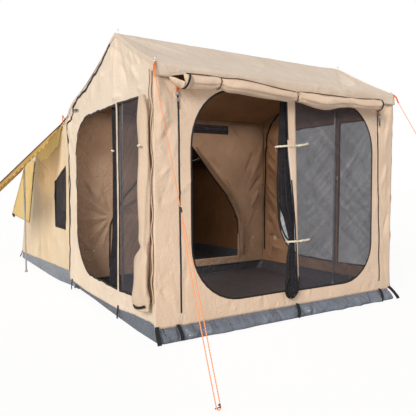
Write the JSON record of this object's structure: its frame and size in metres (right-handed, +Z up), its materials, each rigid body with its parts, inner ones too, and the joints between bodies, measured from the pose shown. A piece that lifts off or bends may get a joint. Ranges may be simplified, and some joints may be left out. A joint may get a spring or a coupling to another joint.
{
  "type": "canvas cabin tent with awning room",
  "caption": "Canvas sleeping tent with a peaked awning room in front: rolled and zipped doors, mesh doors, window awnings on props, telescopic legs and guy ropes.",
  "frame": {"origin": "on the ground under the middle of the tent and its window awnings, left out of account the guy ropes", "axes": "+X towards the tent's right side as seen from the front, +Y from the front wall to the back, +Z up"},
  "size_m": [4.202, 6.7274, 2.497],
  "materials": {
    "roof_canvas": "woven polycotton canvas",
    "wall_canvas": "woven polycotton canvas",
    "inner_canvas": "woven polycotton canvas",
    "awning_canvas": "woven polycotton canvas",
    "floor_vinyl": "coated floor fabric, semi-gloss",
    "insect_mesh": "fine knitted mesh",
    "aluminium_tube": "drawn tube, satin",
    "black_plastic": "moulded, matte",
    "orange_rope": "braided cord",
    "peg_steel": "zinc plated"
  },
  "bodies": {
    "tent": {"awning_roof": "roof_canvas", "tent_roof": "roof_canvas", "front_wall": "wall_canvas", "left_gable_wall": "wall_canvas", "right_gable_wall": "wall_canvas", "tent_left_wall": "wall_canvas", "tent_right_wall": "wall_canvas", "tent_rear_wall": "wall_canvas", "front_left_door_roll": "wall_canvas", "front_right_door_roll": "wall_canvas", "left_door_roll": "wall_canvas", "right_door_roll": "wall_canvas", "divider_wall": "inner_canvas", "divider_right_flap": "inner_canvas", "rear_awning_left_gusset": "awning_canvas", "rear_awning_right_gusset": "awning_canvas", "room_floor": "floor_vinyl", "tent_floor": "floor_vinyl", "left_window_mesh": "insect_mesh", "right_window_mesh": "insect_mesh", "rear_window_mesh": "insect_mesh", "divider_vent_mesh": "insect_mesh", "front_left_mesh_bundle": "insect_mesh", "left_rear_mesh_bundle": "insect_mesh", "left_tent_rafter": "aluminium_tube", "left_front_leg": "aluminium_tube", "left_ridge_leg": "aluminium_tube", "left_knee_leg": "aluminium_tube", "left_guy_rope": "orange_rope", "left_guy_peg": "peg_steel", "right_tent_rafter": "aluminium_tube", "right_front_leg": "aluminium_tube", "right_ridge_leg": "aluminium_tube", "right_knee_leg": "aluminium_tube", "right_guy_rope": "orange_rope", "right_guy_peg": "peg_steel", "eave_tube": "aluminium_tube", "ridge_tube": "aluminium_tube", "knee_tube": "aluminium_tube", "rear_tube": "aluminium_tube"},
    "left_awning": {"left_window_awning": "awning_canvas"},
    "left_pole_top": {"left_awning_pole_top": "aluminium_tube"},
    "left_pole_foot": {"left_awning_pole_foot": "aluminium_tube"},
    "right_awning": {"right_window_awning": "awning_canvas"},
    "right_pole_top": {"right_awning_pole_top": "aluminium_tube"},
    "right_pole_foot": {"right_awning_pole_foot": "aluminium_tube"},
    "rear_awning": {"rear_window_awning": "awning_canvas"},
    "front_right_mesh": {"front_right_mesh_door": "insect_mesh"},
    "left_front_mesh": {"left_front_mesh_door": "insect_mesh"},
    "right_front_mesh": {"right_front_mesh_door": "insect_mesh"},
    "right_rear_mesh": {"right_rear_mesh_door": "insect_mesh"},
    "divider_flap": {"divider_left_flap": "inner_canvas"},
    "left_front_foot_tube": {"left_front_foot": "aluminium_tube"},
    "left_ridge_foot_tube": {"left_ridge_foot": "aluminium_tube"},
    "right_front_foot_tube": {"right_front_foot": "aluminium_tube"},
    "right_ridge_foot_tube": {"right_ridge_foot": "aluminium_tube"},
    "left_zip_slider_body": {"left_zip_slider": "black_plastic"},
    "right_zip_slider_body": {"right_zip_slider": "black_plastic"},
    "left_runner": {"left_guy_runner": "black_plastic"},
    "right_runner": {"right_guy_runner": "black_plastic"}
  },
  "joints": [
    {"name": "left_awning_tilt", "type": "hinge", "parent": "tent", "child": "left_awning", "pos_m": [-1.372, 0.4, 1.74865], "axis": [0, -0.9799, 0.1997], "range_deg": [-20, 30]},
    {"name": "left_awning_pole_swing", "type": "hinge", "parent": "left_awning", "child": "left_pole_top", "pos_m": [-1.575, 0.805, 1.44109], "axis": [0, -0.9799, 0.1997], "range_deg": [-30, 20]},
    {"name": "left_awning_pole_slide", "type": "slide", "parent": "left_pole_top", "child": "left_pole_foot", "axis": [0, 0, 1], "range_m": [-0.07, 0.1]},
    {"name": "right_awning_tilt", "type": "hinge", "parent": "tent", "child": "right_awning", "pos_m": [1.372, 0.4, 1.74865], "axis": [0, 0.9799, -0.1997], "range_deg": [-20, 30]},
    {"name": "right_awning_pole_swing", "type": "hinge", "parent": "right_awning", "child": "right_pole_top", "pos_m": [1.575, 0.805, 1.44109], "axis": [0, 0.9799, -0.1997], "range_deg": [-30, 20]},
    {"name": "right_awning_pole_slide", "type": "slide", "parent": "right_pole_top", "child": "right_pole_foot", "axis": [0, 0, 1], "range_m": [-0.07, 0.1]},
    {"name": "rear_awning_tilt", "type": "hinge", "parent": "tent", "child": "rear_awning", "pos_m": [0, 1.611, 1.515], "axis": [-1, 0, 0], "range_deg": [-15, 28], "deforming": ["rear_awning_left_gusset", "rear_awning_right_gusset"]},
    {"name": "front_right_mesh_swing", "type": "hinge", "parent": "tent", "child": "front_right_mesh", "pos_m": [0.1, -2.686, 0.235], "axis": [-0.0425, 0, 0.9991], "range_deg": [0, 85]},
    {"name": "left_front_mesh_swing", "type": "hinge", "parent": "tent", "child": "left_front_mesh", "pos_m": [-1.354, -1.973, 1], "axis": [0, 0, 1], "range_deg": [0, 85]},
    {"name": "right_front_mesh_swing", "type": "hinge", "parent": "tent", "child": "right_front_mesh", "pos_m": [1.354, -1.973, 1], "axis": [0, 0, -1], "range_deg": [0, 85]},
    {"name": "right_rear_mesh_swing", "type": "hinge", "parent": "tent", "child": "right_rear_mesh", "pos_m": [1.354, -1.937, 1], "axis": [0, 0, 1], "range_deg": [0, 80]},
    {"name": "divider_flap_swing", "type": "hinge", "parent": "tent", "child": "divider_flap", "pos_m": [-0.935, -0.566, 1], "axis": [0, 0, 1], "range_deg": [0, 80]},
    {"name": "left_front_leg_slide", "type": "slide", "parent": "tent", "child": "left_front_foot_tube", "axis": [0, 0, 1], "range_m": [0, 0.9]},
    {"name": "left_ridge_leg_slide", "type": "slide", "parent": "tent", "child": "left_ridge_foot_tube", "axis": [0, 0, 1], "range_m": [0, 0.95]},
    {"name": "right_front_leg_slide", "type": "slide", "parent": "tent", "child": "right_front_foot_tube", "axis": [0, 0, 1], "range_m": [0, 0.9]},
    {"name": "right_ridge_leg_slide", "type": "slide", "parent": "tent", "child": "right_ridge_foot_tube", "axis": [0, 0, 1], "range_m": [0, 0.95]},
    {"name": "left_zip_slide", "type": "slide", "parent": "tent", "child": "left_zip_slider_body", "axis": [0.0139, 0, -0.9999], "range_m": [0, 1.55]},
    {"name": "right_zip_slide", "type": "slide", "parent": "tent", "child": "right_zip_slider_body", "axis": [-0.0139, 0, -0.9999], "range_m": [0, 1.55]},
    {"name": "left_runner_slide", "type": "slide", "parent": "tent", "child": "left_runner", "axis": [0.0835, 0.4971, 0.8637], "range_m": [0, 0.45]},
    {"name": "right_runner_slide", "type": "slide", "parent": "tent", "child": "right_runner", "axis": [-0.0835, 0.4971, 0.8637], "range_m": [0, 0.45]}
  ],
  "couplings": [
    {"joint": "left_awning_pole_swing", "follows": "left_awning_tilt", "ratio": -1},
    {"joint": "left_awning_pole_slide", "follows": "left_awning_tilt", "m_per_rad": 0.185},
    {"joint": "right_awning_pole_swing", "follows": "right_awning_tilt", "ratio": -1},
    {"joint": "right_awning_pole_slide", "follows": "right_awning_tilt", "m_per_rad": 0.185}
  ]
}
